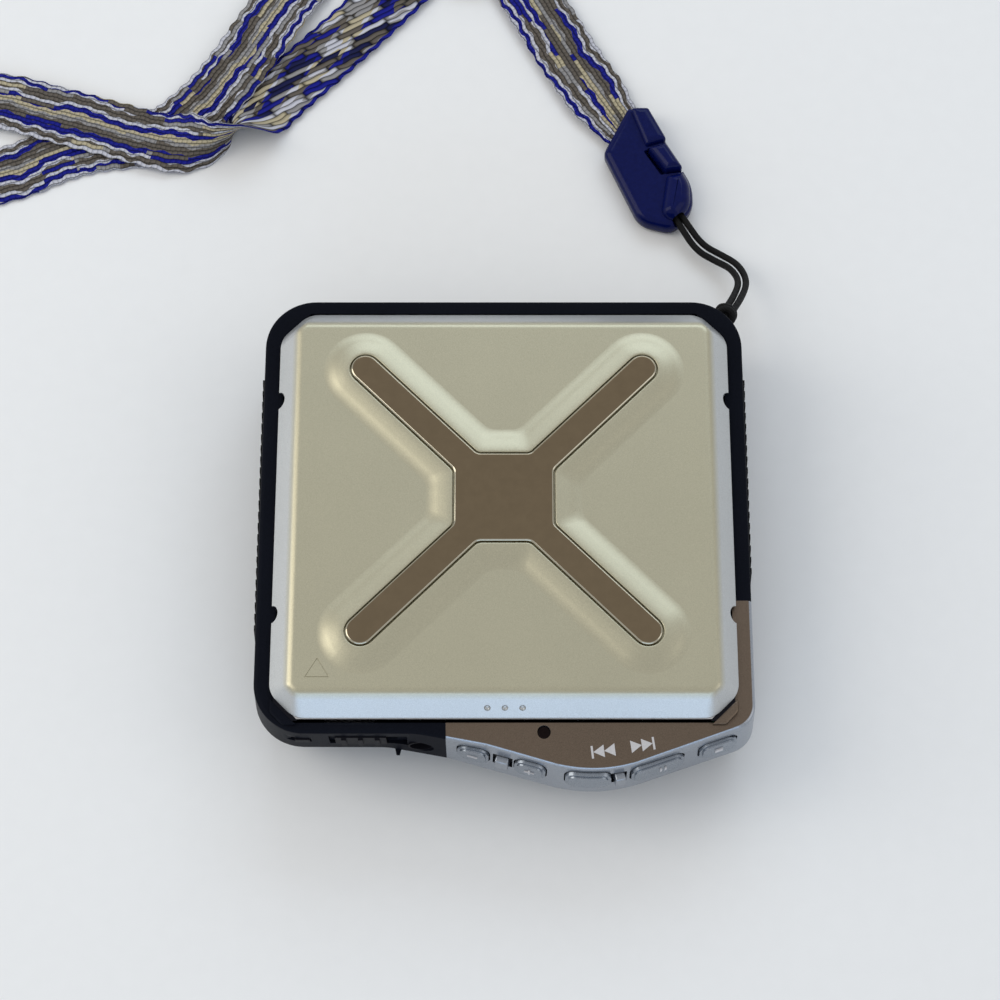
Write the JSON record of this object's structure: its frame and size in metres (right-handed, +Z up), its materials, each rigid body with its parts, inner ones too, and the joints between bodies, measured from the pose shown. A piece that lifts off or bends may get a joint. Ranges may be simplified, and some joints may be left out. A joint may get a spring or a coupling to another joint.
{
  "type": "portable minidisc player",
  "caption": "Pocket minidisc player with a hinged champagne lid, sloping control nose, battery door, working drive, and a wrist strap on a corner post.",
  "frame": {"origin": "middle of the underside of the case, halfway across and halfway front to back, without the strap", "axes": "+Z up through the lid, +Y towards the lid's hinge, -Y is the side with the buttons, +X to the right seen from the buttons"},
  "size_m": [0.1569, 0.175, 0.0264],
  "materials": {
    "black_case": "fine-textured, slightly glossy black",
    "door_black": "fine-textured black",
    "grip_black": "matt ribbed",
    "bronze_panel": "metallic bronze paint, satin",
    "silver_key": "metallic silver paint, satin",
    "lid_champagne": "blasted champagne aluminium",
    "inlay_bronze": "polished bronze mirror",
    "inner_black": "matt",
    "lamp": "dark lens",
    "steel": "bright sheet",
    "pin_steel": "ground",
    "screw_steel": "blackened",
    "board_green": "solder mask",
    "chip_black": "moulded",
    "cell_wrap": "plain printed-free sleeve",
    "contact_spring": "nickel",
    "motor_can": "zinc plated",
    "turntable_grey": "moulded",
    "sled_grey": "cast",
    "lens_glass": "coated",
    "gear_white": "moulded",
    "brass_screw": "turned",
    "damper_rubber": "soft",
    "cord_black": "braided",
    "band_woven": "woven stripes of blue, white, taupe and cream",
    "clip_navy": "moulded navy",
    "keeper_black": "moulded"
  },
  "bodies": {
    "case": {"lower_case": "black_case", "upper_frame": "black_case", "left_grip": "grip_black", "right_grip": "grip_black", "control_panel": "bronze_panel", "status_light": "lamp", "door_pin": "pin_steel", "strap_post": "pin_steel", "main_board": "board_green", "board_chips": "chip_black", "headphone_jack": "inner_black", "battery_cell": "cell_wrap", "battery_contacts": "contact_spring", "battery_roof": "steel", "chassis": "steel", "guide_rods": "pin_steel", "rubber_dampers": "damper_rubber", "case_screws": "screw_steel", "chassis_screws": "screw_steel", "spindle_motor": "motor_can", "sled_motor": "motor_can", "key_boards": "board_green", "key_switches": "inner_black", "hinge_pins": "pin_steel", "hinge_springs": "contact_spring", "loop_cord": "cord_black", "loop_knot": "cord_black", "strap_band": "band_woven", "strap_keeper": "keeper_black", "clip_socket": "clip_navy"},
    "lid": {"lid_cover": "lid_champagne", "lid_inlay": "inlay_bronze", "lid_frame": "inner_black", "disc_holder": "steel", "lid_tabs": "steel"},
    "opener": {"open_slider": "inner_black", "latch_plate": "steel"},
    "hold": {"hold_switch": "inner_black"},
    "volume_down": {"volume_down_button": "silver_key"},
    "volume_up": {"volume_up_button": "silver_key"},
    "previous": {"previous_button": "silver_key"},
    "play": {"play_button": "silver_key"},
    "stop": {"stop_button": "silver_key"},
    "door": {"battery_door": "door_black"},
    "spindle": {"turntable": "turntable_grey"},
    "sled": {"pickup_sled": "sled_grey", "pickup_lens": "lens_glass"},
    "screw": {"feed_screw": "brass_screw", "screw_gear": "gear_white"},
    "pinion": {"motor_pinion": "gear_white"},
    "release": {"clip_release": "clip_navy"}
  },
  "joints": [
    {"name": "lid_hinge", "type": "hinge", "parent": "case", "child": "lid", "pos_m": [0, 0.0369, 0.0204], "axis": [-1, 0, 0], "range_deg": [0, 35]},
    {"name": "opener_slide", "type": "slide", "parent": "case", "child": "opener", "axis": [1, 0, 0], "range_m": [0, 0.0032], "stiffness_N_per_m": 300},
    {"name": "hold_slide", "type": "slide", "parent": "case", "child": "hold", "axis": [-1, 0, 0], "range_m": [0, 0.0015]},
    {"name": "volume_down_press", "type": "slide", "parent": "case", "child": "volume_down", "axis": [0.2751, 0.9614, 0], "range_m": [0, 0.0005], "stiffness_N_per_m": 1200},
    {"name": "volume_up_press", "type": "slide", "parent": "case", "child": "volume_up", "axis": [0.2751, 0.9614, 0], "range_m": [0, 0.0005], "stiffness_N_per_m": 1200},
    {"name": "previous_press", "type": "slide", "parent": "case", "child": "previous", "axis": [0.0278, 0.9996, 0], "range_m": [0, 0.0005], "stiffness_N_per_m": 1200},
    {"name": "play_press", "type": "slide", "parent": "case", "child": "play", "axis": [-0.3328, 0.943, 0], "range_m": [0, 0.0005], "stiffness_N_per_m": 1200},
    {"name": "stop_press", "type": "slide", "parent": "case", "child": "stop", "axis": [-0.3328, 0.943, 0], "range_m": [0, 0.0005], "stiffness_N_per_m": 1200},
    {"name": "door_hinge", "type": "hinge", "parent": "case", "child": "door", "pos_m": [0, 0.0273, 0.0011], "axis": [-1, 0, 0], "range_deg": [0, 95]},
    {"name": "disc_spin", "type": "hinge", "parent": "case", "child": "spindle", "pos_m": [0, 0.0016, 0.0145], "axis": [0, 0, 1], "continuous": true},
    {"name": "sled_slide", "type": "slide", "parent": "case", "child": "sled", "axis": [1, 0, 0], "range_m": [0, 0.0165]},
    {"name": "screw_spin", "type": "hinge", "parent": "case", "child": "screw", "pos_m": [0.02, -0.0142, 0.0116], "axis": [1, 0, 0], "continuous": true},
    {"name": "pinion_spin", "type": "hinge", "parent": "case", "child": "pinion", "pos_m": [0.0338, -0.019, 0.0116], "axis": [1, 0, 0], "continuous": true},
    {"name": "release_press", "type": "slide", "parent": "case", "child": "release", "axis": [0, 0, -1], "range_m": [0, 0.0005], "stiffness_N_per_m": 1200}
  ],
  "couplings": [
    {"joint": "screw_spin", "follows": "sled_slide", "rad_per_m": 4188.8},
    {"joint": "pinion_spin", "follows": "sled_slide", "rad_per_m": -9215.3}
  ]
}
